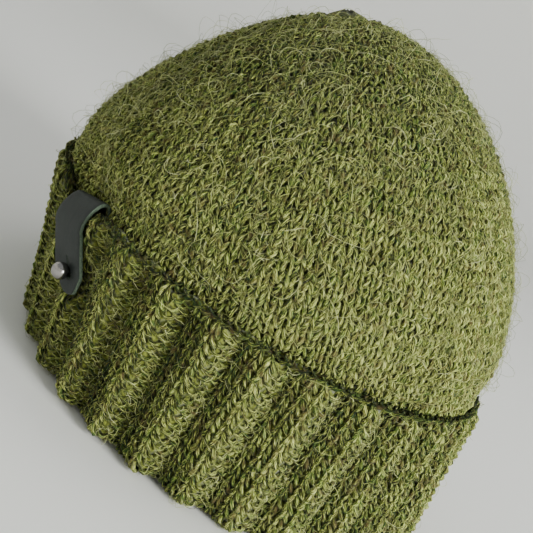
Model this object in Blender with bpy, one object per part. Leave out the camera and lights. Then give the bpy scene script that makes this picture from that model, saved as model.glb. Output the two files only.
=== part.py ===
"""Knit beanie with a turned-up ribbed cuff and a leather strap tag held by a ball stud.

Units are metres and +Z is up. The hat stands on the fold of its cuff, its origin at the middle of its footprint.
Angles run round the hat from +X, counter-clockwise from above; the tag is at the front left.
"""
import math

import bmesh
import bpy
from mathutils import Matrix, Vector

# Whole hat
DEPTH_RATIO = 1.124            # front-to-back width over side-to-side width, as on a head
GAP = 0.0004                   # clearance between pieces that touch

# Turned-up cuff, whose middle line leans from the foot to the crease
CUFF_TOP = 0.0600              # height of the fabric; the chain edge lies above it
CREASE_HEIGHT = 0.0620
FOOT_X = 0.0088                # middle of the ring at the foot and at the crease
CREASE_X = -0.0042
FOOT_RADIUS = 0.0893           # side-to-side half widths of the outer face
WAIST_RADIUS = 0.0912          # halfway up
CREASE_RADIUS = 0.0948
CUFF_WALL = 0.0034
FOOT_WALL = 0.0094             # both layers together at the fold
FOOT_HEIGHT = 0.0080
RIB_COUNT = 32
CUFF_SEGMENTS = 3 * RIB_COUNT
RIB_HEIGHT = 0.0010
RIB_GROOVE = -2.084            # a groove's angle at the crease, radians
RIB_TWIST = 0.128              # and how far it has turned back at the foot

# Inner band, behind the cuff
BAND_RADIUS = 0.0832
BAND_WALL = 0.0033
BAND_FOOT = 0.0090
BAND_TOP = 0.0438

# Crown: rings that start level with the crease and end square to the leaning top
CROWN_RADIUS = 0.0918
CROWN_WALL = 0.0030
CROWN_X = -0.0044              # middle of the crown at the crease
CROWN_LEAN = 0.0305            # how far the apex lies to the side of that
CROWN_RISE = 0.0927            # from the crease to the apex
CROWN_TILT = 0.192             # tilt of the knitted rows at the crease, radians
CROWN_TILT_GAIN = 0.252        # and what is added to it up to the apex
DOME_POWER = 1.82              # the dome's profile is a superellipse
DOME_ROOT = 0.575
RING_START = 0.035             # the first ring's place on the dome
RING_SWING = 0.185             # and how far it swings up and down to lie level
CREASE_NIP = 0.0028            # the crown pulls in behind the cuff by this much
NIP_UNEVENNESS = 0.35          # more to the right and less to the left by this share
NIP_FREE_HEIGHT = 0.0800       # above this height it doesn't
CROWN_SEGMENTS = 52
CROWN_RINGS = 12
COLLAR_RINGS = 2

# Gathered closure at the apex
BUD_RADIUS = 0.0130
BUD_HEIGHT = 0.0035
BUD_FOLDS = 8
BUD_RINGS = (0.0125, 0.0090, 0.0055, 0.0025)
LOOP_RADIUS = 0.0042
YARN_RADIUS = 0.0010

# Strap tag, folded over the cuff's top edge
TAG_ANGLE = math.radians(-134.4)
TAG_WIDTH = 0.0205
TAG_SLOPE = 0.26               # the strap sits askew: its fold rises by this much to the right
TAG_SKEW = 0.42                # and both legs hang off square to that fold by this much
TAG_THICKNESS = 0.0014
TAG_HINGE_HEIGHT = 0.0520      # where the front leg starts to bend over
TAG_RISE = 0.0096              # height of the bend above that
TAG_LENGTH = 0.0226            # from the hinge line to the tip
TAG_POINT = 0.0080             # length of the tapered tip
TAG_OUTSET = 0.0026            # middle of the leather from the mean face of the cuff
TAG_INSET = 0.0054             # middle of the back leg behind that face
TAG_BACK_FOOT = 0.0305
TAG_PRESS = 0.0030             # the strap presses the cuff's edge in by this much
TAG_PRESS_DOWN = 0.0050        # and down by this much
TAG_PRESS_FOOT = 0.0460        # above this height
TAG_PRESS_SPREAD = 0.20        # over this angle to each side, radians
TAG_NIP = 0.0056               # the crown pulls in by this much more behind the strap
TAG_BACK_STEPS = 5
TAG_ARC_STEPS = 8

# Ball stud
STUD_FROM_TIP = 0.0070
BALL_RADIUS = 0.0030
BALL_SEAT = 0.0024             # middle of the ball above the leather's outer face
NECK_RADIUS = 0.0017
FLANGE_RADIUS = 0.0044
FLANGE_THICKNESS = 0.0006
STUD_BORE_RADIUS = 0.0011
SCREW_RADIUS = 0.0007
SCREW_HEAD_RADIUS = 0.0032
SCREW_HEAD_THICKNESS = 0.0008
BALL_HOLE_RADIUS = 0.0040      # the slit hole at the size it stretches to over the ball
BALL_STEPS = 6

OLIVE_WOOL = dict(colour=(0.185, 0.200, 0.062), roughness=0.95, metallic=0.0)
DARK_WOOL = dict(colour=(0.110, 0.125, 0.045), roughness=0.95, metallic=0.0)
LEATHER = dict(colour=(0.035, 0.042, 0.040), roughness=0.55, metallic=0.0)
STEEL = dict(colour=(0.72, 0.71, 0.70), roughness=0.22, metallic=1.0)


def clear_scene():
    for item in list(bpy.data.objects):
        bpy.data.objects.remove(item, do_unlink=True)


def make_material(name, colour, roughness, metallic):
    material = bpy.data.materials.new(name)
    material.use_nodes = True
    shader = material.node_tree.nodes["Principled BSDF"]
    shader.inputs["Base Color"].default_value = (*colour, 1.0)
    shader.inputs["Roughness"].default_value = roughness
    shader.inputs["Metallic"].default_value = metallic
    return material


def add_object(name, data, finish, smooth_angle=math.radians(50)):
    item = bpy.data.objects.new(name, data)
    bpy.context.collection.objects.link(item)
    data.materials.append(make_material(name + "_finish", **finish))
    if isinstance(data, bpy.types.Mesh):
        data.shade_smooth()
        data.set_sharp_from_angle(angle=smooth_angle)
    return item


def mesh_from(bm, name):
    mesh = bpy.data.meshes.new(name)
    bm.to_mesh(mesh)
    bm.free()
    return mesh


def cut(target, cutter):
    """Take a hidden cutter out of target."""
    cutter.hide_render = True
    cutter.display_type = "WIRE"
    boolean = target.modifiers.new("cut_" + cutter.name, "BOOLEAN")
    boolean.operation = "DIFFERENCE"
    boolean.object = cutter


def smooth_step(value):
    value = min(max(value, 0.0), 1.0)
    return value * value * (3.0 - 2.0 * value)


def angles(count):
    return [2.0 * math.pi * i / count for i in range(count)]


# ---- surfaces of the hat ----

def cuff_middle(z):
    return FOOT_X + (CREASE_X - FOOT_X) * z / CREASE_HEIGHT


def cuff_radius(z):
    """Outer face of the cuff: a parabola through the foot, the waist and the crease."""
    u = z / CREASE_HEIGHT
    return (FOOT_RADIUS * (1 - u) * (1 - 2 * u) + WAIST_RADIUS * 4 * u * (1 - u)
            + CREASE_RADIUS * u * (2 * u - 1))


def ring_point(angle, middle_x, radius, z):
    return Vector((middle_x + radius * math.cos(angle), DEPTH_RATIO * radius * math.sin(angle), z))


def beside_tag(angle):
    """1 behind the strap, falling to 0 at its sides."""
    return math.exp(-(math.remainder(angle - TAG_ANGLE, 2.0 * math.pi) / TAG_PRESS_SPREAD) ** 4)


def cuff_point(angle, z, outset=0.0):
    press = beside_tag(angle) * smooth_step((z - TAG_PRESS_FOOT) / (CUFF_TOP - TAG_PRESS_FOOT))
    radius = cuff_radius(z) + outset - TAG_PRESS * press
    beside = CREASE_RADIUS * math.remainder(angle - TAG_ANGLE, 2.0 * math.pi)
    return ring_point(angle, cuff_middle(z), radius, z - (TAG_PRESS_DOWN - TAG_SLOPE * beside) * press)


def crown_axis():
    tilt = CROWN_TILT + CROWN_TILT_GAIN
    return Vector((-math.sin(tilt), 0.0, math.cos(tilt)))


def crown_point(angle, rise):
    """A point of the crown's outer face; rise is 0 at the crease and 1 at the apex."""
    place = rise + (1.0 - rise) * (RING_START - RING_SWING * math.cos(angle))
    radius = CROWN_RADIUS * (1.0 - max(place, 0.0) ** DOME_POWER) ** DOME_ROOT
    tilt = CROWN_TILT + CROWN_TILT_GAIN * place
    middle = Vector((CROWN_X - CROWN_LEAN * place, 0.0, CREASE_HEIGHT + CROWN_RISE * place))
    spoke = Vector((radius * math.cos(angle) * math.cos(tilt), DEPTH_RATIO * radius * math.sin(angle),
                    radius * math.cos(angle) * math.sin(tilt)))
    point = middle + spoke
    nip = CREASE_NIP * (1.0 + NIP_UNEVENNESS * math.cos(angle)) + TAG_NIP * beside_tag(angle)
    nip *= smooth_step((NIP_FREE_HEIGHT - point.z) / (NIP_FREE_HEIGHT - CREASE_HEIGHT))
    point.x -= spoke.x * nip / CROWN_RADIUS
    point.y -= spoke.y * nip / CROWN_RADIUS
    if radius < BUD_RADIUS:
        swell = BUD_HEIGHT * (1.0 - (radius / BUD_RADIUS) ** 2) ** 2
        point += crown_axis() * swell * (1.0 + 0.25 * math.cos(BUD_FOLDS * angle) * radius / BUD_RADIUS)
    return point


def rise_at_radius(radius):
    return (1.0 - (radius / CROWN_RADIUS) ** (1.0 / DOME_ROOT)) ** (1.0 / DOME_POWER)


# ---- mesh helpers ----

def skin(bm, lower, upper):
    count = len(lower)
    for i in range(count):
        j = (i + 1) % count
        bm.faces.new((lower[i], lower[j], upper[j], upper[i]))


def carried_round(name, section, point_at, count):
    """Solid of a closed section carried round the hat; the section runs up the outside and down the inside."""
    bm = bmesh.new()
    rings = [[bm.verts.new(point_at(angle, *stop)) for angle in angles(count)] for stop in section]
    for lower, upper in zip(rings, rings[1:] + rings[:1]):
        skin(bm, lower, upper)
    return mesh_from(bm, name)


def strip(name, path, normals, width_axes, width, thickness):
    """Strap of a rectangular section along path."""
    bm = bmesh.new()
    rings = []
    for point, normal, width_axis in zip(path, normals, width_axes):
        corners = ((-1, -1), (1, -1), (1, 1), (-1, 1))
        rings.append([bm.verts.new(point + width_axis * width / 2 * a + normal * thickness / 2 * b)
                      for a, b in corners])
    for lower, upper in zip(rings, rings[1:]):
        skin(bm, lower, upper)
    bm.faces.new(reversed(rings[0]))
    bm.faces.new(rings[-1])
    bmesh.ops.recalc_face_normals(bm, faces=bm.faces)
    return mesh_from(bm, name)


def turned(name, profile, count=20):
    """Solid turned round local Y from (radius, y) pairs whose first and last lie on the axis."""
    bm = bmesh.new()
    spine = [bm.verts.new((radius, y, 0.0)) for radius, y in profile]
    edges = [bm.edges.new(pair) for pair in zip(spine, spine[1:])]
    bmesh.ops.spin(bm, geom=spine + edges, cent=(0, 0, 0), axis=(0, 1, 0), angle=2 * math.pi,
                   steps=count, use_merge=True, use_duplicate=False)
    bmesh.ops.remove_doubles(bm, verts=bm.verts, dist=1e-6)
    bmesh.ops.recalc_face_normals(bm, faces=bm.faces)
    return mesh_from(bm, name)


def yarn(name, points, radius, finish, closed=False):
    curve = bpy.data.curves.new(name, "CURVE")
    curve.dimensions = "3D"
    curve.bevel_depth = radius
    curve.bevel_resolution = 2
    curve.use_fill_caps = not closed
    spline = curve.splines.new("POLY")
    spline.points.add(len(points) - 1)
    for target, point in zip(spline.points, points):
        target.co = (*point, 1.0)
    spline.use_cyclic_u = closed
    return add_object(name, curve, finish)


# ---- knitted pieces ----

def build_turned_cuff():
    """Outer ribbed layer with the fold that the hat stands on."""
    section = [  # height, inset from the outer face, share of the rib wave
        (0.0, 0.0022, 0.0), (0.0016, 0.0005, 0.6), (0.0045, 0.0, 1.0),
        (0.0180, 0.0, 1.0), (0.0320, 0.0, 1.0), (0.0460, 0.0, 1.0),
        (CUFF_TOP - 0.0025, 0.0, 1.0), (CUFF_TOP - 0.0004, 0.0008, 0.4), (CUFF_TOP, 0.0019, 0.0),
        (CUFF_TOP - 0.0004, CUFF_WALL - 0.0007, 0.0), (CUFF_TOP - 0.0025, CUFF_WALL, 0.0),
        (0.0460, CUFF_WALL, 0.0), (0.0320, CUFF_WALL, 0.0),
        (FOOT_HEIGHT + 0.0020, CUFF_WALL, 0.0), (FOOT_HEIGHT, CUFF_WALL + 0.0010, 0.0),
        (FOOT_HEIGHT - 0.0004, FOOT_WALL - 0.0006, 0.0), (FOOT_HEIGHT - 0.0014, FOOT_WALL, 0.0),
        (0.0018, FOOT_WALL - 0.0001, 0.0), (0.0, FOOT_WALL - 0.0018, 0.0),
    ]

    def point_at(angle, z, inset, ribbed):
        groove = RIB_GROOVE - RIB_TWIST * (1.0 - z / CREASE_HEIGHT)
        wave = -RIB_HEIGHT * math.cos(RIB_COUNT * (angle - groove))
        return cuff_point(angle, z, ribbed * wave - inset)

    mesh = carried_round("turned_cuff", section, point_at, CUFF_SEGMENTS)
    return add_object("turned_cuff", mesh, OLIVE_WOOL)


def build_cast_on_edge():
    """Chain of yarn along the cuff's top edge."""
    middle_height = CUFF_TOP + GAP + YARN_RADIUS
    points = [cuff_point(angle, middle_height, -CUFF_WALL / 2) for angle in angles(CUFF_SEGMENTS)]
    return yarn("cast_on_edge", points, YARN_RADIUS, DARK_WOOL, closed=True)


def build_inner_band():
    section = [(BAND_FOOT, BAND_RADIUS), (BAND_TOP, BAND_RADIUS),
               (BAND_TOP, BAND_RADIUS - BAND_WALL), (BAND_FOOT, BAND_RADIUS - BAND_WALL)]

    def point_at(angle, z, radius):
        return ring_point(angle, cuff_middle(z), radius, z)

    mesh = carried_round("inner_band", section, point_at, CROWN_SEGMENTS)
    return add_object("inner_band", mesh, OLIVE_WOOL)


def build_crown_shell():
    """The dome, its collar reaching down behind the cuff, thickened inwards."""
    bm = bmesh.new()
    hem_height = BAND_TOP + GAP
    hem = [ring_point(a, cuff_middle(hem_height), BAND_RADIUS, hem_height) for a in angles(CROWN_SEGMENTS)]
    crease = [crown_point(a, 0.0) for a in angles(CROWN_SEGMENTS)]
    rows = [[low.lerp(high, k / COLLAR_RINGS) for low, high in zip(hem, crease)] for k in range(COLLAR_RINGS)]
    widths = [math.cos(0.5 * math.pi * k / CROWN_RINGS) * CROWN_RADIUS for k in range(CROWN_RINGS)]
    for radius in [width for width in widths if width > BUD_RINGS[0] * 1.2] + list(BUD_RINGS):
        rise = rise_at_radius(radius)
        rows.append([crown_point(a, rise) for a in angles(CROWN_SEGMENTS)])
    rings = [[bm.verts.new(point) for point in row] for row in rows]
    for lower, upper in zip(rings, rings[1:]):
        skin(bm, lower, upper)
    apex = bm.verts.new(crown_point(0.0, 1.0))
    for i, vert in enumerate(rings[-1]):
        bm.faces.new((vert, rings[-1][(i + 1) % CROWN_SEGMENTS], apex))
    item = add_object("crown_shell", mesh_from(bm, "crown_shell"), OLIVE_WOOL)
    wall = item.modifiers.new("wall", "SOLIDIFY")
    wall.thickness = CROWN_WALL
    wall.offset = -1.0
    wall.use_even_offset = True
    return item


def build_closing_loop():
    """Ring of yarn inside the crown, threaded through the last stitches to draw them together."""
    axis = crown_axis()
    across = Vector((axis.z, 0.0, -axis.x))
    along = Vector((0.0, 1.0, 0.0))
    middle = crown_point(0.0, 1.0) - axis * (BUD_HEIGHT + CROWN_WALL + 2 * YARN_RADIUS)
    points = [middle + (across * math.cos(a) + along * math.sin(a)) * LOOP_RADIUS for a in angles(20)]
    return yarn("closing_loop", points, YARN_RADIUS, DARK_WOOL, closed=True)


def build_closing_tail():
    """End of the drawn-in yarn, woven in on the inside of the crown."""
    depth = CROWN_WALL + GAP + YARN_RADIUS
    points = []
    for step in range(12):
        share = step / 11
        radius = 0.020 + 0.034 * share
        point = crown_point(0.9 + 0.5 * share, rise_at_radius(radius))
        near_u = crown_point(0.9 + 0.5 * share + 0.02, rise_at_radius(radius)) - point
        near_v = crown_point(0.9 + 0.5 * share, rise_at_radius(radius + 0.001)) - point
        outward = near_v.cross(near_u).normalized()
        points.append(point - outward * (depth + 0.0006))
    return yarn("closing_tail", points, YARN_RADIUS, DARK_WOOL)


def build_cast_on_tail():
    """End of the cast-on yarn, woven in behind the cuff's top edge at the back."""
    inset = CUFF_WALL + GAP + YARN_RADIUS * 0.7
    points = [cuff_point(1.35 + 0.022 * k, 0.0570 - 0.0013 * k, -inset) for k in range(13)]
    return yarn("cast_on_tail", points, YARN_RADIUS * 0.7, DARK_WOOL)


# ---- strap tag and stud ----

def tag_frame():
    """The tag's own directions: along its width, out of the cuff, and up along the front leg."""
    along = width_axis_at(TAG_ANGLE)
    rise = on_cuff(TAG_HINGE_HEIGHT) - on_cuff(TAG_HINGE_HEIGHT - TAG_LENGTH)
    face = rise.cross(along).normalized()
    return along, face, along.cross(face)


def width_axis_at(angle):
    """Direction across the strap where it lies against the cuff at an angle."""
    outward = Vector((math.cos(angle), math.sin(angle) / DEPTH_RATIO, 0.0)).normalized()
    level = outward.cross(Vector((0.0, 0.0, 1.0)))
    return (level - Vector((0.0, 0.0, TAG_SLOPE))).normalized()


def tag_angle_at(z):
    """Angle of the tag's middle line, which drifts round the cuff as it goes down."""
    return TAG_ANGLE + (TAG_SLOPE + TAG_SKEW) * (TAG_HINGE_HEIGHT - z) / CREASE_RADIUS


def on_cuff(z):
    """Point of the cuff's mean face along the middle of the tag."""
    return cuff_point(tag_angle_at(z), z)


def build_tag_back_leg():
    """Inner leg of the strap and its bend over the cuff's top edge."""
    along, face = tag_frame()[:2]
    up = Vector((0.0, 0.0, 1.0))
    drop = TAG_HINGE_HEIGHT - TAG_BACK_FOOT
    path, normals, width_axes = [], [], []
    for k in range(TAG_BACK_STEPS):
        z = TAG_BACK_FOOT + drop * k / TAG_BACK_STEPS
        across = width_axis_at(tag_angle_at(z))
        out = (on_cuff(z + 0.001) - on_cuff(z - 0.001)).cross(across).normalized()
        path.append(on_cuff(z) - out * TAG_INSET)
        normals.append(out)
        width_axes.append(across)
    middle = on_cuff(TAG_HINGE_HEIGHT) + face * (TAG_OUTSET - TAG_INSET) / 2
    half_span = (TAG_OUTSET + TAG_INSET) / 2
    for k in range(TAG_ARC_STEPS + 1):
        turn = math.pi * (1.0 - k / TAG_ARC_STEPS)
        path.append(middle + face * math.cos(turn) * half_span + up * math.sin(turn) * TAG_RISE)
        normals.append(-(face * math.cos(turn) * TAG_RISE + up * math.sin(turn) * half_span).normalized())
        width_axes.append(along)
    mesh = strip("tag_back_leg", path, normals, width_axes, TAG_WIDTH, TAG_THICKNESS)
    return add_object("tag_back_leg", mesh, LEATHER)


def build_tag_front_leg():
    """Outer leg, hanging from a hinge line on its outer face; local X is along, Y out of the cuff, Z up."""
    half = TAG_WIDTH / 2
    shoulder, nose = TAG_POINT - TAG_LENGTH, TAG_POINT * 0.16 - TAG_LENGTH
    outline = [(-half, -GAP), (-half, shoulder), (-half * 0.42, nose), (0.0, -TAG_LENGTH),
               (half * 0.42, nose), (half, shoulder), (half, -GAP)]
    bm = bmesh.new()
    sheet = bm.faces.new([bm.verts.new((x + TAG_SKEW * z, -TAG_THICKNESS, z)) for x, z in outline])
    grown = bmesh.ops.extrude_face_region(bm, geom=[sheet])
    moved = [part for part in grown["geom"] if isinstance(part, bmesh.types.BMVert)]
    bmesh.ops.translate(bm, verts=moved, vec=(0.0, TAG_THICKNESS, 0.0))
    bmesh.ops.recalc_face_normals(bm, faces=bm.faces)
    flap = add_object("tag_front_leg", mesh_from(bm, "tag_front_leg"), LEATHER)
    flap.matrix_world = tag_place(0.0)
    return flap


def tag_place(height):
    """Frame on the front leg's outer face, at a height along it from the hinge line."""
    along, face, up = tag_frame()
    turn = Matrix((along, face, up)).transposed().to_4x4()
    hinge = on_cuff(TAG_HINGE_HEIGHT) + face * (TAG_OUTSET + TAG_THICKNESS / 2)
    return Matrix.Translation(hinge + (up + along * TAG_SKEW) * height) @ turn


def add_cutter(name, profile, place):
    cutter = add_object(name, turned(name, profile), STEEL)
    cutter.matrix_world = place
    return cutter


def build_stud(flap, back_leg, cuff):
    """Ball stud in front and the screw that holds it from behind; local Y = 0 is the leather's outer face."""
    place = tag_place(STUD_FROM_TIP - TAG_LENGTH)
    back_face = -TAG_THICKNESS - GAP
    flange_back = back_face - FLANGE_THICKNESS
    bore_end = BALL_SEAT - BALL_RADIUS * 0.4
    first = math.asin(NECK_RADIUS / BALL_RADIUS)
    profile = [(0.0, bore_end), (STUD_BORE_RADIUS, bore_end), (STUD_BORE_RADIUS, flange_back),
               (FLANGE_RADIUS, flange_back), (FLANGE_RADIUS, back_face), (NECK_RADIUS, back_face)]
    for k in range(BALL_STEPS):
        turn = (math.pi - first) * (1.0 - k / BALL_STEPS)
        profile.append((BALL_RADIUS * math.sin(turn), BALL_SEAT + BALL_RADIUS * math.cos(turn)))
    profile.append((0.0, BALL_SEAT + BALL_RADIUS))
    knob = add_object("stud_knob", turned("stud_knob", profile), STEEL)
    knob.matrix_world = place

    stud = place.translation
    cuff_face = (on_cuff(stud.z) - stud).dot(tag_frame()[1])
    head_front = cuff_face - TAG_INSET - TAG_THICKNESS / 2 - GAP * 2
    head_back = head_front - SCREW_HEAD_THICKNESS
    tip = bore_end - GAP
    shank = [(SCREW_RADIUS, head_front), (SCREW_RADIUS, tip), (0.0, tip)]
    head = [(0.0, head_back), (SCREW_HEAD_RADIUS, head_back), (SCREW_HEAD_RADIUS, head_front)]
    screw = add_object("stud_screw", turned("stud_screw", head + shank), STEEL)
    screw.matrix_world = place

    clear = TAG_THICKNESS * 2
    cut(flap, add_cutter("ball_hole_cutter", [(0.0, -clear), (BALL_HOLE_RADIUS, -clear),
                                              (BALL_HOLE_RADIUS, clear), (0.0, clear)], place))
    cut(back_leg, add_cutter("back_hole_cutter", [(0.0, head_back), (STUD_BORE_RADIUS, head_back),
                                                  (STUD_BORE_RADIUS, flange_back), (0.0, flange_back)], place))
    # The wool is pressed in under the flange.
    dent, mouth = flange_back - GAP, back_face
    cut(cuff, add_cutter("cuff_hole_cutter", [(0.0, head_back), (STUD_BORE_RADIUS, head_back),
                                              (STUD_BORE_RADIUS, dent), (FLANGE_RADIUS + GAP, dent),
                                              (FLANGE_RADIUS + GAP, mouth), (0.0, mouth)], place))


def build_hat():
    clear_scene()
    cuff = build_turned_cuff()
    build_cast_on_edge()
    build_inner_band()
    build_crown_shell()
    build_closing_loop()
    build_closing_tail()
    build_cast_on_tail()
    back_leg = build_tag_back_leg()
    flap = build_tag_front_leg()
    build_stud(flap, back_leg, cuff)


build_hat()
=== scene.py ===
import math

import bmesh
import bpy
import numpy as np
from mathutils import Matrix, Vector


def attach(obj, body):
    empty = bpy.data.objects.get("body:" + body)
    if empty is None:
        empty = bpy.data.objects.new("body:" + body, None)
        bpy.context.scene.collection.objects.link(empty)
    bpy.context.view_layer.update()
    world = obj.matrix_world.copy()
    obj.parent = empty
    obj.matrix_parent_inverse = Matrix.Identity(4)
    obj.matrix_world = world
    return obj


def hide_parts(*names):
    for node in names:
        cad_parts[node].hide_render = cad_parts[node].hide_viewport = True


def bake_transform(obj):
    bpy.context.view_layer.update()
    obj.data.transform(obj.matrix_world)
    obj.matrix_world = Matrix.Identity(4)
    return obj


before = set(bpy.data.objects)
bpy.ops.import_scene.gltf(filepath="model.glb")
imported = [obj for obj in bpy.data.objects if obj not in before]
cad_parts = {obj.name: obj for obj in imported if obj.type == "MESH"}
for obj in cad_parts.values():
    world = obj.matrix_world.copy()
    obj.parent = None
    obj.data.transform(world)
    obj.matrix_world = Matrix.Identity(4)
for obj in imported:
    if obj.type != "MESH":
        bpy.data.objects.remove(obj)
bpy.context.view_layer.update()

full = 2.0 * math.pi
scene = bpy.context.scene

# Metres throughout. Angles run round the hat from +X, counter-clockwise from above.
# The tag is at the front left.
hat = dict(
    depthRatio=1.124,       # front-to-back width over side-to-side width
    stitchesAround=160,
    ribs=32,                # each of 3 knit and 2 purl stitches
)
cuff = dict(
    height=0.0600, crease=0.0620,
    footX=0.0088, creaseX=-0.0042,      # the ring's middle leans from the foot to the crease
    footRadius=0.0893, waistRadius=0.0912, creaseRadius=0.0948,
    ribGroove=-2.084, ribTwist=0.128,   # a groove's angle at the crease, and how it turns back at the foot
    ribRise=0.0021,                     # the ribs' swell above and below the mean face
    foldDepth=0.0094, foldHeight=0.0050, floorGap=0.0016,
    courseHeight=0.00315, courses=22,
)
crown = dict(
    radius=0.0918, middleX=-0.0044, lean=0.0305, rise=0.0927,
    tilt=0.192, tiltGain=0.252,         # the courses' tilt at the crease, and its growth to the apex
    budRadius=0.0130, budHeight=0.0038, budFolds=8,     # the gathered top
    domePower=1.82, domeRoot=0.575,
    nip=0.0028, nipUnevenness=0.35, nipFree=0.0800,   # pulled in behind the cuff
    courseHeight=0.00315, gores=8,
    hiddenBelow=0.0335,                 # no stitches lower than this behind the cuff
    hem=0.0442, bandRadius=0.0832, bandWall=0.0033, bandFoot=0.0085, bandTop=0.0475, bandGap=0.0008,
)
tag = dict(
    angle=math.radians(-134.4), width=0.0205, slope=0.26, skew=0.42, thickness=0.0014,
    hinge=0.0520, rise=0.0096, length=0.0226, point=0.0080,
    outset=0.0026, inset=0.0054, backFoot=0.0305,
    press=0.0030, pressDown=0.0050, pressFoot=0.0460, spread=0.20, nip=0.0056,
    studFromTip=0.0070,
)


def smoothStep(value):
    value = np.clip(value, 0.0, 1.0)
    return value * value * (3.0 - 2.0 * value)


def wrapped(angle):
    return np.remainder(angle + math.pi, full) - math.pi


# ---- surfaces that the knitting follows ----

def ringPoint(angle, middle, radius, z):
    x = middle + radius * np.cos(angle)
    y = hat["depthRatio"] * radius * np.sin(angle)
    return np.stack([x, y, z + 0 * angle], -1)


def cuffMiddle(z):
    return cuff["footX"] + (cuff["creaseX"] - cuff["footX"]) * z / cuff["crease"]


def cuffRadius(z):
    u = z / cuff["crease"]
    return (cuff["footRadius"] * (1 - u) * (1 - 2 * u) + cuff["waistRadius"] * 4 * u * (1 - u)
            + cuff["creaseRadius"] * u * (2 * u - 1))


def besideTag(angle):
    return np.exp(-(wrapped(angle - tag["angle"]) / tag["spread"]) ** 4)


def cuffPoint(angle, z, outset=0.0):
    press = besideTag(angle) * smoothStep((z - tag["pressFoot"]) / (cuff["height"] - tag["pressFoot"]))
    radius = cuffRadius(z) + outset - tag["press"] * press
    beside = cuff["creaseRadius"] * wrapped(angle - tag["angle"])
    return ringPoint(angle, cuffMiddle(z), radius, z - (tag["pressDown"] - tag["slope"] * beside) * press)


def cuffFabric(angle, run):
    # run is the way down from the top edge, over the fold and up inside it
    z = cuff["height"] - run
    bend = cuff["foldHeight"]
    half = cuff["foldDepth"] / 2
    bendLength = 0.5 * math.pi * (half + bend)
    turn = math.pi * np.clip((bend - z) / bendLength, 0.0, 1.0)
    inset = np.where(z < bend, half * (1 - np.cos(turn)), 0.0)
    low = bend - (bend - cuff["floorGap"]) * np.sin(turn)
    over = np.maximum(bend - z - bendLength, 0.0)
    height = np.where(z < bend, low + over, z)
    return cuffPoint(angle, height, -inset)


def crownFabric(angle, course):
    # course is 0 on the ring that starts level with the crease's middle, and 1 at the apex
    place = np.clip(course, 0.0, 1.0)
    radius = crown["radius"] * (1.0 - place ** crown["domePower"]) ** crown["domeRoot"]
    tilt = crown["tilt"] + crown["tiltGain"] * np.clip(course, -0.2, 1.0)
    x = radius * np.cos(angle) * np.cos(tilt)
    y = hat["depthRatio"] * radius * np.sin(angle)
    z = cuff["crease"] + crown["rise"] * course + radius * np.cos(angle) * np.sin(tilt)
    nip = crown["nip"] * (1.0 + crown["nipUnevenness"] * np.cos(angle)) + tag["nip"] * besideTag(angle)
    nip = nip * smoothStep((crown["nipFree"] - z) / (crown["nipFree"] - cuff["crease"])) / crown["radius"]
    x = crown["middleX"] - crown["lean"] * course + x * (1 - nip)
    y = y * (1 - nip)
    near = np.clip(radius / crown["budRadius"], 0.0, 1.0)
    bud = crown["budHeight"] * (1 - near ** 2) ** 2 * (1 + 0.5 * np.cos(crown["budFolds"] * angle) * near)
    x = x - bud * np.sin(tilt)
    z = z + bud * np.cos(tilt)
    # below the crease the fabric closes in on the band
    middle = cuffMiddle(z)
    around = np.arctan2(y / hat["depthRatio"], x - middle)
    loose = np.hypot(y / hat["depthRatio"], x - middle)
    reach = smoothStep((cuff["crease"] - z) / (cuff["crease"] - crown["hem"]))
    tight = loose + (crown["bandRadius"] + crown["bandGap"] - loose) * reach
    return ringPoint(around, middle, tight, z)


def bandFabric(angle, z):
    return ringPoint(angle, cuffMiddle(z), crown["bandRadius"] + 0 * z, z)


def outward(surface, u, v, flip=False):
    step = 1e-3
    point = surface(u, v)
    across = surface(u + step, v) - point
    along = surface(u, v + step * 0.1) - point
    normal = np.cross(across, along)
    size = np.linalg.norm(normal, axis=-1, keepdims=True)
    normal = normal / np.maximum(size, 1e-12)
    return point, -normal if flip else normal


def ribSwell(place):
    # place runs from one groove to the next: a steep rise over the knit stitches, a fall over the purl ones
    place = np.remainder(place, 1.0)
    return np.where(place < 0.6, -np.cos(math.pi * place / 0.6), np.cos(math.pi * (place - 0.6) / 0.4))


def cuffGroove(run):
    z = np.maximum(cuff["height"] - run, 0.0)
    return cuff["ribGroove"] - cuff["ribTwist"] * (1.0 - z / cuff["crease"])


# ---- materials ----

class Wire:
    # a socket that adds Math nodes when it is used in an expression
    def __init__(self, tree, socket):
        self.tree = tree
        self.socket = socket

    def maths(self, operation, first, second):
        node = self.tree.nodes.new("ShaderNodeMath")
        node.operation = operation
        for slot, value in zip(node.inputs, (first, second)):
            if isinstance(value, Wire):
                self.tree.links.new(value.socket, slot)
            else:
                slot.default_value = value
        return Wire(self.tree, node.outputs[0])

    def __add__(self, other):
        return self.maths("ADD", self, other)

    def __sub__(self, other):
        return self.maths("SUBTRACT", self, other)

    def __mul__(self, other):
        return self.maths("MULTIPLY", self, other)

    def __rsub__(self, other):
        return self.maths("SUBTRACT", other, self)

    __radd__ = __add__
    __rmul__ = __mul__


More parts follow.
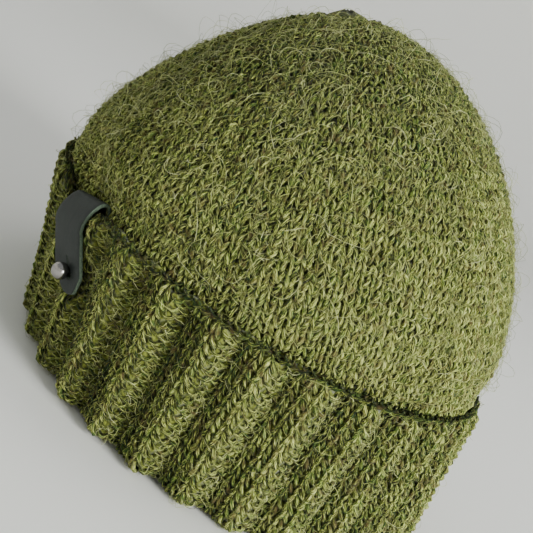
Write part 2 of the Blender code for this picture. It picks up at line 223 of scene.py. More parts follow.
class Finish:
    # a material with one Principled shader
    def __init__(self, name, **constants):
        self.material = bpy.data.materials.new(name)
        self.material.use_nodes = True
        self.tree = self.material.node_tree
        self.shader = self.tree.nodes["Principled BSDF"]
        for socket, value in constants.items():
            self.shader.inputs[socket.replace("_", " ")].default_value = value

    def node(self, kind, settings=None, output=0, **inputs):
        made = self.tree.nodes.new("ShaderNode" + kind)
        for key, value in (settings or {}).items():
            if key == "stops":
                ramp = made.color_ramp
                while len(ramp.elements) < len(value):
                    ramp.elements.new(0.5)
                for element, (place, colour) in zip(ramp.elements, value):
                    element.position = place
                    element.color = (*colour, 1.0)
            else:
                setattr(made, key, value)
        for key, value in inputs.items():
            # i0, i6 and so on give an input's place, for inputs that share one name
            byPlace = key[0] == "i" and key[1:].isdigit()
            slot = made.inputs[int(key[1:])] if byPlace else made.inputs[key.replace("_", " ")]
            if isinstance(value, Wire):
                self.tree.links.new(value.socket, slot)
            else:
                slot.default_value = value
        return Wire(self.tree, made.outputs[output])

    def mix(self, factor, low, high):
        colours = [(*c, 1.0) if isinstance(c, tuple) else c for c in (low, high)]
        return self.node("Mix", dict(data_type="RGBA"), output=2, i0=factor, i6=colours[0], i7=colours[1])

    def feed(self, **links):
        for socket, wire in links.items():
            self.tree.links.new(wire.socket, self.shader.inputs[socket.replace("_", " ")])
        return self.material


woolShades = dict(
    stops=[(0.00, (0.006, 0.008, 0.002)), (0.24, (0.027, 0.033, 0.005)), (0.44, (0.090, 0.105, 0.016)),
           (0.62, (0.215, 0.245, 0.040)), (0.80, (0.425, 0.470, 0.098)), (1.00, (0.670, 0.700, 0.235))],
    brown=(0.115, 0.078, 0.030), teal=(0.030, 0.100, 0.050), moss=(0.130, 0.260, 0.034),
    base=0.60, streak=4.8, fleck=0.20, patch=0.35, drift=0.45,  # level along the stops, and what varies it
    tuck=0.44,                  # painted shade: how much darker the yarn is drawn in the gaps, at the strands' ends and where the stitches carry extra painted shade
    stretch=(3.5, 3.5, 0.42),   # streaks across, across and along the yarn
)


def woolFinish(name):
    # streaks run along the yarn, whose own space is held in the attribute "yarn", in millimetres
    look = woolShades
    finish = Finish(name, Roughness=0.9, Sheen_Weight=0.06, Sheen_Roughness=0.5, Specular_IOR_Level=0.12)
    yarn = finish.node("Attribute", dict(attribute_name="yarn"), output=1)
    fleck = finish.node("Attribute", dict(attribute_name="fleck"), output=2)
    place = finish.node("TexCoord", output=3)
    tuck = finish.node("Attribute", dict(attribute_name="tuck"), output=2)
    stretched = finish.node("VectorMath", dict(operation="MULTIPLY"), i0=yarn, i1=look["stretch"])
    fine = finish.node("TexNoise", Vector=stretched, Scale=1.0, Detail=3.0, Roughness=0.62)
    patches = finish.node("TexNoise", Vector=place, Scale=160.0, Detail=2.0, Roughness=0.6)
    wide = finish.node("TexNoise", Vector=place, Scale=26.0, Detail=2.0)
    level = (fine - 0.5) * look["streak"] + (fleck - 0.5) * look["fleck"] + (patches - 0.5) * look["patch"]
    # the painted shade lowers the level, darkening the yarn where shade would fall between strands
    level = level + (wide - 0.5) * look["drift"] + look["base"] - tuck * look["tuck"]
    colour = finish.node("ValToRGB", dict(stops=look["stops"]), Fac=level)
    hue = finish.node("TexNoise", Vector=place, Scale=310.0, Detail=1.0)
    tint = finish.node("TexNoise", Vector=stretched, Scale=0.7, Detail=1.0)
    brown = finish.node("MapRange", i0=hue, i1=0.54, i2=0.72, i3=0.0, i4=0.65)
    teal = finish.node("MapRange", i0=tint, i1=0.55, i2=0.74, i3=0.0, i4=0.60)
    moss = finish.node("MapRange", i0=hue, i1=0.48, i2=0.30, i3=0.0, i4=0.45)
    colour = finish.mix(brown, colour, look["brown"])
    colour = finish.mix(teal, colour, look["teal"])
    colour = finish.mix(moss * fine, colour, look["moss"])
    bump = finish.node("Bump", Height=fine, Strength=0.9, Distance=0.0007)
    return finish.feed(Base_Color=colour, Normal=bump)


def fabricFinish(name, columns, courses, dark=0.45):
    # the fabric behind the stitches and its purl side, with rows of bars
    finish = Finish(name, Roughness=0.95, Sheen_Weight=0.2, Specular_IOR_Level=0.15)
    course = finish.node("UVMap", dict(uv_map="course"))
    grid = finish.node("VectorMath", dict(operation="MULTIPLY"), i0=course, i1=(columns, courses, 1.0))
    place = finish.node("TexCoord", output=3)
    split = finish.tree.nodes.new("ShaderNodeSeparateXYZ")
    finish.tree.links.new(grid.socket, split.inputs[0])
    across, along = (Wire(finish.tree, split.outputs[k]) for k in (0, 1))
    arch = finish.node("Math", dict(operation="COSINE"), i0=across * full)
    bars = finish.node("Math", dict(operation="SINE"), i0=(along + arch * 0.22) * full)
    fuzz = finish.node("TexNoise", Vector=place, Scale=900.0, Detail=3.0)
    level = fuzz * 0.9 + bars * 0.16 + dark - 0.5
    colour = finish.node("ValToRGB", dict(stops=woolShades["stops"][:4]), Fac=level)
    bump = finish.node("Bump", Height=bars * 0.6 + fuzz * 0.8, Strength=0.9, Distance=0.0012)
    return finish.feed(Base_Color=colour, Normal=bump)


def hairFinish():
    finish = Finish("woolHair", Roughness=0.7, Sheen_Weight=0.2, Specular_IOR_Level=0.3)
    fleck = finish.node("Attribute", dict(attribute_name="fleck"), output=2)
    place = finish.node("TexCoord", output=3)
    drift = finish.node("TexNoise", Vector=place, Scale=400.0, Detail=1.0)
    level = fleck * 0.8 + (drift - 0.5) * 0.6 + 0.1
    stops = [(0.0, (0.09, 0.11, 0.02)), (0.45, (0.28, 0.31, 0.07)),
             (0.8, (0.50, 0.53, 0.18)), (1.0, (0.68, 0.69, 0.40))]
    colour = finish.node("ValToRGB", dict(stops=stops), Fac=level)
    return finish.feed(Base_Color=colour)


def plyFinish():
    # the loose ends: two plies twisted together
    finish = Finish("plyYarn", Roughness=0.9, Sheen_Weight=0.2)
    place = finish.node("TexCoord", output=3)
    turns = finish.node("TexWave", dict(bands_direction="DIAGONAL"), Vector=place, Scale=190.0,
                        Distortion=1.5)
    fibres = finish.node("TexNoise", Vector=place, Scale=2200.0, Detail=2.0)
    level = turns * 0.35 + fibres * 0.5 + 0.05
    colour = finish.node("ValToRGB", dict(stops=woolShades["stops"][:5]), Fac=level)
    bump = finish.node("Bump", Height=turns + fibres * 0.4, Strength=0.8, Distance=0.0005)
    return finish.feed(Base_Color=colour, Normal=bump)


def leatherFinish():
    finish = Finish("strapLeather", Specular_IOR_Level=0.3)
    place = finish.node("TexCoord", output=3)
    edge = finish.node("Attribute", dict(attribute_name="cutEdge"), output=2)
    grain = finish.node("TexVoronoi", dict(feature="DISTANCE_TO_EDGE"), Vector=place, Scale=1500.0)
    pores = finish.node("TexNoise", Vector=place, Scale=2600.0, Detail=3.0)
    creases = finish.node("TexNoise", Vector=place, Scale=260.0, Detail=5.0, Roughness=0.65)
    clouds = finish.node("TexNoise", Vector=place, Scale=70.0, Detail=2.0)
    faceStops = [(0.25, (0.008, 0.010, 0.010)), (0.55, (0.019, 0.025, 0.022)), (0.85, (0.040, 0.048, 0.040))]
    edgeStops = [(0.3, (0.070, 0.105, 0.070)), (0.7, (0.170, 0.220, 0.160))]
    hide = finish.node("ValToRGB", dict(stops=faceStops), Fac=creases * 0.6 + clouds * 0.4)
    cut = finish.node("ValToRGB", dict(stops=edgeStops), Fac=pores)
    colour = finish.mix(edge, hide, cut)
    rough = edge * 0.3 + creases * 0.25 + 0.45
    height = grain * 0.5 + pores * 0.2 + creases * 0.8
    bump = finish.node("Bump", Height=height, Strength=0.5, Distance=0.0004)
    return finish.feed(Base_Color=colour, Roughness=rough, Normal=bump)


def steelFinish(name, scratch=3000.0):
    finish = Finish(name, Metallic=1.0)
    place = finish.node("TexCoord", output=3)
    marks = finish.node("TexNoise", Vector=place, Scale=scratch, Detail=4.0, Roughness=0.7)
    tarnish = finish.node("TexNoise", Vector=place, Scale=420.0, Detail=2.0)
    colour = finish.mix(tarnish, (0.27, 0.25, 0.245), (0.42, 0.40, 0.39))
    bump = finish.node("Bump", Height=marks, Strength=0.12, Distance=0.0002)
    return finish.feed(Base_Color=colour, Roughness=marks * 0.16 + 0.12, Normal=bump)


# ---- yarn stitches ----

stitch = dict(
    width=0.00385, crownYarn=0.00080, cuffYarn=0.00082, purlYarn=0.00056,
    sides=5, rings=5,       # of each strand's tube
    floor=0.0003,           # strands under the fold are pressed flat here
)


def addObject(name, data):
    made = bpy.data.objects.new(name, data)
    bpy.context.collection.objects.link(made)
    return made


def addPiece(name, mesh, finish, body=None):
    piece = addObject(name, mesh)
    mesh.materials.append(finish)
    mesh.shade_smooth()
    if body:
        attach(piece, body)
    return piece


def takeMesh(name, bm):
    mesh = bpy.data.meshes.new(name)
    bm.to_mesh(mesh)
    bm.free()
    return mesh


def yarnBlank(sides, rings):
    # an open tube made once; every strand bends a copy of it
    bm = bmesh.new()
    bmesh.ops.create_cone(bm, cap_ends=False, segments=sides, radius1=1.0, radius2=1.0, depth=1.0)
    lengthwise = [e for e in bm.edges if abs(e.verts[0].co.z - e.verts[1].co.z) > 0.5]
    bmesh.ops.subdivide_edges(bm, edges=lengthwise, cuts=rings - 2, use_grid_fill=True)
    bm.verts.index_update()
    places = np.array([v.co[:] for v in bm.verts])
    faces = np.array([[v.index for v in f.verts] for f in bm.faces])
    bm.free()
    share = places[:, 2] + 0.5
    turn = np.arctan2(places[:, 1], places[:, 0])
    # each face's corners in the strand's own cell of the bake map
    step = full / sides
    turns = np.remainder(turn[faces] + 0.5 * step, full)
    split = turns.max(axis=1, keepdims=True) - turns.min(axis=1, keepdims=True) > math.pi
    turns = np.where(split & (turns < math.pi), turns + full, turns)
    cells = np.stack([np.minimum(turns / (full + step), 1.0), 0.03 + 0.94 * share[faces]], -1)
    return dict(share=share, turn=turn, faces=faces, cells=cells)


def strandMesh(name, points, blank, reverse):
    # many strands in one mesh, each with points of its own and a cell of its own in the bake map
    count, per = points.shape[:2]
    flipped = reverse[:, None, None]
    corners = np.where(flipped, blank["faces"][None, :, ::-1], blank["faces"][None])
    corners = corners + per * np.arange(count)[:, None, None]
    mesh = bpy.data.meshes.new(name)
    mesh.vertices.add(count * per)
    mesh.vertices.foreach_set("co", points.reshape(-1).astype(np.float32))
    mesh.loops.add(corners.size)
    mesh.loops.foreach_set("vertex_index", corners.reshape(-1).astype(np.int32))
    mesh.polygons.add(corners.size // 4)
    mesh.polygons.foreach_set("loop_start", np.arange(0, corners.size, 4, dtype=np.int32))
    mesh.update(calc_edges=True)
    wide = math.ceil(math.sqrt(count * 2.0))
    tall = math.ceil(count / wide)
    cell = np.stack([np.arange(count) % wide, np.arange(count) // wide], -1)[:, None, None, :]
    spots = np.where(flipped[..., None], blank["cells"][None, :, ::-1], blank["cells"][None])
    spots = (cell + 0.06 + 0.88 * spots) / (wide, tall)
    layer = mesh.uv_layers.new(name="OFBake")
    layer.data.foreach_set("uv", spots.reshape(-1).astype(np.float32))
    return mesh


def storeOnPoints(mesh, name, values, kind="FLOAT", field="value"):
    layer = mesh.attributes.new(name, kind, "POINT")
    layer.data.foreach_set(field, values.reshape(-1).astype(np.float32))


legBlank = yarnBlank(stitch["sides"], stitch["rings"])


def knitLeg(share):
    # right leg of a knit stitch, in stitch widths, courses and metres of depth
    x = 0.050 + 0.350 * share ** 0.9
    y = -0.22 + 1.50 * share
    depth = -0.00110 + 0.00210 * np.sin(math.pi * (0.06 + 0.88 * share)) ** 0.9
    return x, y, depth


def purlBar(share):
    # head of a purl stitch: an arch across the column
    x = -0.62 + 1.24 * share
    y = 0.34 + 0.30 * np.sin(math.pi * share)
    depth = -0.0007 + 0.0014 * np.sin(math.pi * share)
    return x, y, depth


def strandShape(path, width, height, radius, flat):
    share = legBlank["share"]
    x, y, depth = path(share)
    nearX, nearY, _ = path(share + 0.01)
    tangent = np.stack([(nearX - x) * width, (nearY - y) * height], -1)
    tangent /= np.linalg.norm(tangent, axis=-1, keepdims=True)
    taper = 0.50 + 0.50 * np.sin(math.pi * np.clip(share, 0.0, 1.0)) ** 0.7
    side = np.cos(legBlank["turn"]) * radius * taper
    across = np.stack([tangent[:, 1], -tangent[:, 0]], -1) * side[:, None]
    rise = depth + np.sin(legBlank["turn"]) * radius * flat * taper
    return x * width + across[:, 0], y * height + across[:, 1], rise


def layStitches(name, surface, stitches, shape, size, finish, body, flip=False, sway=1.0, seed=1):
    # stitches: place and pitch in the surface's own terms, mirroring, lift and extra painted shade, one row
    # for each strand
    rng = np.random.default_rng(seed)
    u, v, du, dv, mirror, lift, extraPaintedShade = (column[:, None] for column in stitches.T)
    count = len(stitches)
    width, height = size
    x, y, rise = (part[None, :] for part in shape)
    lean = rng.normal(-0.10, 0.15, (count, 1)) * sway
    thick = 1.0 + rng.normal(0.0, 0.10 * sway, (count, 1))
    shiftX = rng.normal(0.0, 0.045 * sway, (count, 1)) * width
    shiftY = rng.normal(0.0, 0.07 * sway, (count, 1)) * height
    middle = x.mean()
    x = (middle + (x - middle) * thick) * mirror
    across = x * np.cos(lean) - (y - 0.5 * height) * np.sin(lean) + shiftX
    along = x * np.sin(lean) * 0.5 + y + shiftY
    rise = rise * thick + lift + rng.normal(0.0, 0.00014 * sway, (count, 1))
    point, normal = outward(surface, u + across / width * du, v + along / height * dv, flip)
    point = point + normal * rise[..., None]
    point[..., 2] = np.maximum(point[..., 2], stitch["floor"])
    mesh = strandMesh(name, point, legBlank, (mirror[:, 0] > 0) != flip)
    # the yarn's own space: twisted round its middle, with its own stretch of yarn for each strand
    share, turn = legBlank["share"][None, :], legBlank["turn"][None, :]
    length = 5.0
    spin = turn + share * length * 0.35 + rng.uniform(0, full, (count, 1))
    far = rng.uniform(0, 900, (count, 1))
    along = share * length + far * 1.7 + 0 * spin
    yarn = np.stack([np.cos(spin) * 0.9 + far, np.sin(spin) * 0.9 - far * 0.7, along], -1)
    storeOnPoints(mesh, "yarn", yarn, "FLOAT_VECTOR", "vector")
    storeOnPoints(mesh, "fleck", np.repeat(rng.uniform(0, 1, count), point.shape[1]))
    # painted shade: 0 on the yarn's ridge, 1 where it sinks between its neighbours, more at the strand's
    # ends, plus each strand's extra painted shade
    ends = np.maximum(np.abs(share - 0.5) * 2.0 - 0.45, 0.0) ** 1.5
    storeOnPoints(mesh, "tuck", (0.5 - 0.5 * np.sin(turn)) ** 0.8 + 0.9 * ends + extraPaintedShade)
    return addPiece(name, mesh, finish, body)


def courseRun(surface, start, end, spacing, angle):
    # even steps along one wale
    values = np.linspace(start, end, 1500)
    points = surface(np.full_like(values, angle), values)
    length = np.concatenate([[0.0], np.cumsum(np.linalg.norm(np.diff(points, axis=0), axis=1))])
    return np.interp(np.arange(0.0, length[-1], spacing), length, values)


def buildCrownStitches(finish):
    courses = courseRun(crownFabric, -0.46, 0.992, crown["courseHeight"], -0.5 * math.pi)
    rows = []
    for j in range(len(courses) - 1):
        course, pitch = courses[j], courses[j + 1] - courses[j]
        ring = crownFabric(np.linspace(0, full, 181), np.full(181, max(course, 0.0)))
        girth = np.linalg.norm(np.diff(ring, axis=0), axis=1).sum()
        gore = min(hat["stitchesAround"] // crown["gores"], max(1, round(girth / crown["gores"] / 0.0039)))
        count = gore * crown["gores"]
        column = np.arange(count)
        angles = (column + 0.5) / count * full - math.pi + 0.02 * j / len(courses)
        edge = np.minimum(column % gore, gore - 1 - column % gore)
        decreased = gore < hat["stitchesAround"] // crown["gores"]
        dip = np.where((edge == 0) & decreased, -0.0007, 0.0)
        # painted shade: the crown drawn darker where its rings narrow and towards its top
        paintedShadeAtTop = 0.28 * smoothStep((0.090 - girth) / 0.040) + 0.50 * smoothStep((course - 0.25) / 0.55)
        for mirror in (-1.0, 1.0):
            lift = dip + 0.00014 * mirror
            # painted shade along the decrease lines, where the stitches also sit lower
            extraPaintedShade = dip * -250.0 + paintedShadeAtTop
            rows.append(np.stack([angles, np.full(count, course), np.full(count, full / count),
                                  np.full(count, pitch), np.full(count, mirror), lift, extraPaintedShade], -1))
    stitches = np.concatenate(rows)
    height = crownFabric(stitches[:, 0], stitches[:, 1])[:, 2]
    stitches = stitches[height > crown["hiddenBelow"]]
    size = (stitch["width"], crown["courseHeight"])
    shape = strandShape(knitLeg, *size, stitch["crownYarn"], 0.95)
    sector = np.floor((wrapped(stitches[:, 0]) + math.pi) / full * 6).astype(int) % 6
    for k in range(6):
        layStitches(f"crownStitches{k + 1}", crownFabric, stitches[sector == k], shape, size, finish, "crown",
                    seed=20 + k)
    print("crown stitches:", len(stitches) // 2)


def underStrap(points):
    # 1 where the strap's front leg presses on the knitting
    along, face, up = tagDirections()
    hinge = onCuff(tag["hinge"])
    beside = (points - np.array(hinge)) @ np.array(along)
    above = (points - np.array(hinge)) @ np.array(up)
    out = (points - np.array(hinge)) @ np.array(face)
    lateral = np.abs(beside - tag["skew"] * above)
    across = smoothStep((tag["width"] / 2 + 0.0042 - lateral) / 0.0035)
    below = smoothStep((above + tag["length"] + 0.0030) / 0.0040)
    return across * below * smoothStep((out + 0.004) / 0.002)


def cuffKnit(angle, run):
    # the cuff's face with its ribs
    groove = cuffGroove(run)
    base, normal = outward(cuffFabric, angle, run, flip=True)
    swell = ribSwell((angle - groove) / full * hat["ribs"])
    top = smoothStep(run / 0.004)
    fold = 1.0 - 0.75 * smoothStep((run - 0.056) / 0.005)
    pressed = underStrap(base)
    rise = cuff["ribRise"] * swell * fold * (0.35 + 0.65 * top) * (1.0 - pressed) - 0.0018 * pressed
    return base + normal * rise[..., None]


def buildCuffStitches(finish):
    spacing = cuff["courseHeight"]
    perRib = hat["stitchesAround"] // hat["ribs"]
    column = np.arange(hat["stitchesAround"])
    knit, purl = [], []
    pitch = full / hat["stitchesAround"]
    for j in range(cuff["courses"]):
        run = 0.0008 + spacing * j
        angles = cuffGroove(np.array(run)) + (column + 0.5) * pitch
        one = np.ones(len(column))
        isKnit = column % perRib < 3
        # painted shade, deepest in the rib grooves
        paintedGrooveShade = 0.35 * (1.0 - ribSwell((column + 0.5) / perRib))
        row = np.stack([angles, run * one, pitch * one, spacing * one, one, 0 * one, paintedGrooveShade], -1)
        for mirror in (-1.0, 1.0):
            strands = row[isKnit].copy()
            strands[:, 4] = mirror
            knit.append(strands)
        purl.append(row[~isKnit])
        lower = row[~isKnit].copy()
        lower[:, 1] += 0.5 * spacing
        lower[:, 0] += 0.5 * pitch
        lower[:, 5] = -0.0005
        purl.append(lower)
    size = (stitch["width"], spacing)
    knit, purl = np.concatenate(knit), np.concatenate(purl)
    legs = strandShape(knitLeg, *size, stitch["cuffYarn"], 0.95)
    bars = strandShape(purlBar, *size, stitch["purlYarn"], 1.0)
    for k in range(2):
        share = np.floor((wrapped(knit[:, 0]) + math.pi) / full * 2).astype(int) % 2 == k
        layStitches(f"cuffKnitStitches{k + 1}", cuffKnit, knit[share], legs, size, finish, "cuff", True, 0.75,
                    40 + k)
        share = np.floor((wrapped(purl[:, 0]) + math.pi) / full * 2).astype(int) % 2 == k
        layStitches(f"cuffPurlStitches{k + 1}", cuffKnit, purl[share], bars, size, finish, "cuff", True, 0.45,
                    50 + k)
    print("cuff stitches:", len(knit) // 2 + len(purl) // 2)


castOn = dict(count=176, width=0.0042, height=0.0036, yarn=0.00080)


def edgeFabric(along, angle):
    # a narrow strip lying on the cuff's top edge; its courses run round the hat
    return cuffPoint(angle, cuff["height"] + 0.0001 + 0 * along, -0.0016 + along)


def buildCastOnEdge(finish):
    pitch = full / castOn["count"]
    angles = np.arange(castOn["count"]) * pitch
    one = np.ones(castOn["count"])
    rows = []
    for mirror in (-1.0, 1.0):
        # painted shade: the chain along the cuff's top edge is drawn darker
        columns = [0 * one, angles, castOn["width"] * one, pitch * one, mirror * one, 0 * one, 0.35 * one]
        rows.append(np.stack(columns, -1))
    size = (castOn["width"], castOn["height"])
    shape = strandShape(knitLeg, *size, castOn["yarn"], 0.9)
    rows = np.concatenate(rows)
    piece = layStitches("castOnChain", edgeFabric, rows, shape, size, finish, "cuff", True, 0.9, 60)
    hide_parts("cast_on_edge")


# ---- fabric behind the stitches ----

def fabricShell(name, surface, steps, values, depth, thickness, finish, body, flip=False):
    up = len(values) - 1
    bm = bmesh.new()
    bmesh.ops.create_grid(bm, x_segments=steps, y_segments=up, size=0.5, calc_uvs=True)
    layer = bm.loops.layers.uv.active or bm.loops.layers.uv.new("course")
    spots = np.array([v.co[:2] for v in bm.verts]) + 0.5
    for face in bm.faces:
        for loop in face.loops:
            loop[layer].uv = (loop.vert.co.x + 0.5, loop.vert.co.y + 0.5)
    angle = spots[:, 0] * full - math.pi
    value = np.interp(spots[:, 1] * up, np.arange(up + 1), values)
    point, normal = outward(surface, angle, np.minimum(value, values[-1] - 1e-5), flip)
    point = point + normal * depth
    for vert, place in zip(bm.verts, point):
        vert.co = place
    bmesh.ops.remove_doubles(bm, verts=bm.verts, dist=2e-5)
    if flip:
        bmesh.ops.reverse_faces(bm, faces=bm.faces)
    mesh = takeMesh(name, bm)
    mesh.uv_layers[0].name = "course"
    piece = addPiece(name, mesh, finish, body)
    wall = piece.modifiers.new("wall", "SOLIDIFY")
    wall.thickness = thickness
    wall.offset = -1.0
    return piece


def buildFabric():
    fabric = fabricFinish("crownFabric", 160.0, 60.0)
    ribbing = fabricFinish("bandFabric", 160.0, 20.0, 0.62)
    crownValues = np.concatenate([np.linspace(-0.40, 0.90, 60), np.linspace(0.91, 0.9995, 16)])
    shell = fabricShell("crownLining", crownFabric, 160, crownValues, -0.0006, 0.0024, fabric, "crown")
    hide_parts("crown_shell")

    def bandKnit(angle, z):
        base, normal = outward(bandFabric, angle, z)
        swell = ribSwell(-(angle - cuffGroove(cuff["height"] - z)) / full * hat["ribs"])
        return base + normal * (0.0007 * swell)[..., None]

    heights = np.linspace(crown["bandFoot"], crown["bandTop"], 14)
    band = fabricShell("innerBand", bandKnit, 480, heights, 0.0, crown["bandWall"], ribbing, "crown")
    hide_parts("inner_band")
    runs = np.linspace(0.0010, 0.0785, 34)
    lining = fabricShell("cuffLining", cuffKnit, 480, runs, -0.0008, 0.0022, ribbing, "cuff", True)
    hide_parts("turned_cuff")


# ---- loose wool fibres ----

# combed hairs lie along the wales, with comb as their spread; long ones wander
hairs = dict(
    crownCombed=dict(count=9900, low=-0.1, high=0.985, reach=(0.0025, 0.0085), lift=0.0008, thick=0.000085,
                     points=4, comb=0.30),
    crownLong=dict(count=3700, low=-0.1, high=0.97, reach=(0.005, 0.028), lift=0.0018, thick=0.000070,
                   points=8, comb=0.0),
    cuffCombed=dict(count=9000, low=0.0005, high=0.062, reach=(0.002, 0.007), lift=0.0007, thick=0.000090,
                    points=4, comb=0.30),
    cuffLong=dict(count=3200, low=0.0005, high=0.062, reach=(0.003, 0.016), lift=0.0014, thick=0.000075,
                  points=8, comb=0.0),
    floor=0.0004,
)


def unit(vectors):
    return vectors / np.maximum(np.linalg.norm(vectors, axis=-1, keepdims=True), 1e-9)


def layHairs(name, kind, surface, body, finish, seed, flip=False):
    rng = np.random.default_rng(seed)
    tries, points = kind["count"] * 3, kind["points"]
    angle = rng.uniform(-math.pi, math.pi, tries)
    value = rng.uniform(kind["low"], kind["high"], tries)
    base = surface(angle, value)
    step = 1e-3
    wide = np.linalg.norm(surface(angle + step, value) - base, axis=1) / step
    tall = np.linalg.norm(surface(angle, value + step) - base, axis=1) / step
    # an even spread over the surface, above the crease on the crown and clear of the strap on the cuff
    chance = wide * tall
    keep = rng.uniform(0, chance.max(), tries) < chance
    keep &= base[:, 2] > (0.0 if flip else cuff["crease"])
    if flip:
        keep &= underStrap(base) < 0.05
    angle, value, wide, tall = (part[keep][:kind["count"]] for part in (angle, value, wide, tall))
    total = len(angle)
    low, high = kind["reach"]
    length = low + (high - low) * rng.beta(1.1, 3.2, (total, 1))
    share = np.linspace(0, 1, points)[None, :]
    if kind["comb"]:
        aside = rng.choice([-1.0, 1.0], (total, 1)) * rng.normal(0.42, kind["comb"], (total, 1))
        heading = 0.5 * math.pi + aside
        heading = heading + rng.normal(0, 0.35, (total, 1)) * share
    else:
        heading = rng.uniform(0, full, (total, 1)) + rng.normal(0, 1.1, (total, 1)) * share * 1.6
        heading = heading + np.cumsum(rng.normal(0, 0.28, (total, points)), axis=1)
    stepX = np.cumsum(np.cos(heading), axis=1) / points * length
    stepY = np.cumsum(np.sin(heading), axis=1) / points * length
    lift = kind["lift"]
    top = rng.gamma(1.6, lift / 1.6, (total, 1)) * np.minimum(length / 0.010, 1.3)
    stand = rng.uniform(0, 1, (total, 1)) < (0.06 if kind["comb"] else 0.22)
    arch = np.where(stand, share ** 1.2, np.sin(math.pi * share) ** 0.8)
    rise = 0.0006 + top * arch + rng.normal(0, 0.00012, (total, points))
    valueAt = np.clip(value[:, None] + stepY / tall[:, None], kind["low"], kind["high"] - 1e-3)
    spot, normal = outward(surface, angle[:, None] + stepX / wide[:, None], valueAt, flip)
    spine = spot + normal * rise[..., None]
    spine[..., 2] = np.maximum(spine[..., 2], hairs["floor"])
    tangent = unit(np.gradient(spine, axis=1))
    side = unit(np.cross(tangent, normal))
    up = np.cross(side, tangent)
    radius = kind["thick"] * rng.uniform(0.7, 1.3, (total, 1)) * (1.0 - 0.75 * share ** 3)
    blank = yarnBlank(3, points)
    ring = np.rint(blank["share"] * (points - 1)).astype(int)
    turn = (blank["turn"] - 0.5 * math.pi)[None, :, None]
    around = side[:, ring] * np.cos(turn) + up[:, ring] * np.sin(turn)
    place = spine[:, ring] + around * radius[:, ring][..., None]
    mesh = strandMesh(name, place, blank, np.ones(total, dtype=bool))
    storeOnPoints(mesh, "fleck", np.repeat(rng.uniform(0, 1, total), len(ring)))
    return addPiece(name, mesh, finish, body)


def buildHairs():
    finish = hairFinish()
    for k in range(2):
        layHairs(f"crownCombedHairs{k + 1}", hairs["crownCombed"], crownFabric, "crown", finish, 6 + k)
    for k in range(2):
        layHairs(f"crownLongHairs{k + 1}", hairs["crownLong"], crownFabric, "crown", finish, 15 + k)
    layHairs("cuffCombedHairs", hairs["cuffCombed"], cuffKnit, "cuff", finish, 8, flip=True)
    layHairs("cuffLongHairs", hairs["cuffLong"], cuffKnit, "cuff", finish, 7, flip=True)


# ---- strap tag ----

def onCuff(z):
    drift = (tag["slope"] + tag["skew"]) * (tag["hinge"] - z)
    angle = np.array(tag["angle"] + drift / cuff["creaseRadius"])
    return Vector(cuffPoint(angle, np.array(z)))


def tagDirections():
    outwards = Vector((math.cos(tag["angle"]), math.sin(tag["angle"]) / hat["depthRatio"], 0.0)).normalized()
    level = outwards.cross(Vector((0, 0, 1)))
    along = (level - Vector((0, 0, tag["slope"]))).normalized()
    rise = onCuff(tag["hinge"]) - onCuff(tag["hinge"] - tag["length"])
    face = rise.cross(along).normalized()
    return along, face, along.cross(face)


def strapPath():
    # the leather's middle from the tip over the bend and down the inner leg
    along, face, up = tagDirections()
    hinge = onCuff(tag["hinge"]) + face * tag["outset"]
    hang = up + along * tag["skew"]
    path = [hinge - hang * tag["length"] * (1 - k / 12) for k in range(12)]
    middle = onCuff(tag["hinge"]) + face * (tag["outset"] - tag["inset"]) / 2
    half = (tag["outset"] + tag["inset"]) / 2
    for k in range(17):
        turn = math.pi * k / 16
        path.append(middle + face * math.cos(turn) * half + Vector((0, 0, 1)) * math.sin(turn) * tag["rise"])
    for k in range(1, 9):
        path.append(onCuff(tag["hinge"] + (tag["backFoot"] - tag["hinge"]) * k / 8) - face * tag["inset"])
    path = np.array([p[:] for p in path])
    for _ in range(3):
        path[1:-1] = 0.25 * path[:-2] + 0.5 * path[1:-1] + 0.25 * path[2:]
    return path


slit = dict(radius=0.0019, cutWidth=0.00055, cutLength=0.0050, cutMiddle=0.0034)


def slitCutter():
    # round under the ball, with a short cut above it
    deep = 0.01
    radius = slit["radius"]
    bm = bmesh.new()
    bmesh.ops.create_cone(bm, cap_ends=True, segments=40, radius1=radius, radius2=radius, depth=deep)
    cut = Matrix.Diagonal((slit["cutWidth"], slit["cutLength"], deep, 1.0))
    bmesh.ops.create_cube(bm, size=1.0, matrix=Matrix.Translation((0.0, slit["cutMiddle"], 0.0)) @ cut)
    bmesh.ops.translate(bm, verts=bm.verts, vec=(0.0, tag["studFromTip"], 0.0))
    return addObject("slitCutter", takeMesh("slitCutter", bm))


